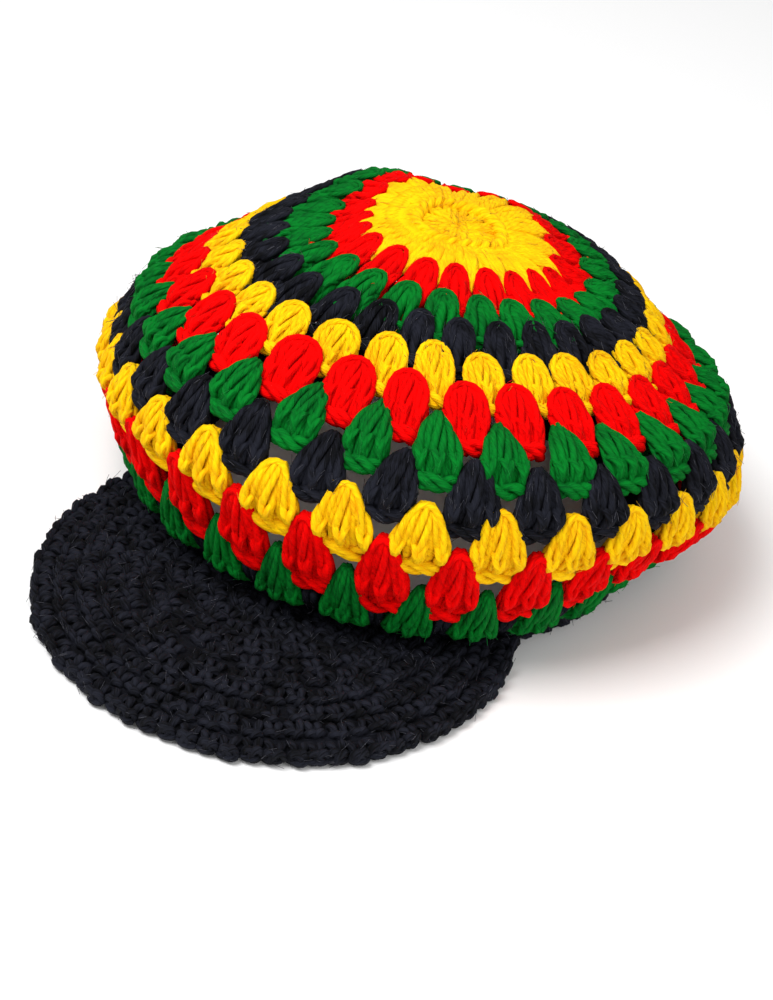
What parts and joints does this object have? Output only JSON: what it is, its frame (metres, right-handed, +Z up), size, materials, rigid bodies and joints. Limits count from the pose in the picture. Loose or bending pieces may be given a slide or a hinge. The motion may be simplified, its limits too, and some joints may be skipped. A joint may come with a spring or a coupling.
{
  "type": "crocheted tam cap",
  "caption": "Slouchy crocheted tam with a round crown of striped shell-stitch rounds, a plain band around the head opening and a half-oval peak at the front.",
  "frame": {"origin": "on the floor, under the middle of the cap's whole outline seen from above", "axes": "+Z up through the crown, -Y to the front, where the peak is, and +X to the left-hand side of someone wearing the cap"},
  "size_m": [0.2442, 0.298, 0.124],
  "materials": {
    "yarn_yellow": "matte thick yarn",
    "yarn_red": "matte thick yarn",
    "yarn_green": "matte thick yarn",
    "yarn_black": "matte thick yarn"
  },
  "bodies": {
    "root": {"centre_yellow": "yarn_yellow", "round_01_red": "yarn_red", "round_02_green": "yarn_green", "round_03_black": "yarn_black", "round_04_yellow": "yarn_yellow", "round_05_red": "yarn_red", "round_06_green": "yarn_green", "round_07_black": "yarn_black", "round_08_yellow": "yarn_yellow", "round_09_red": "yarn_red", "round_10_green": "yarn_green", "band": "yarn_black", "peak": "yarn_black"}
  },
  "joints": []
}
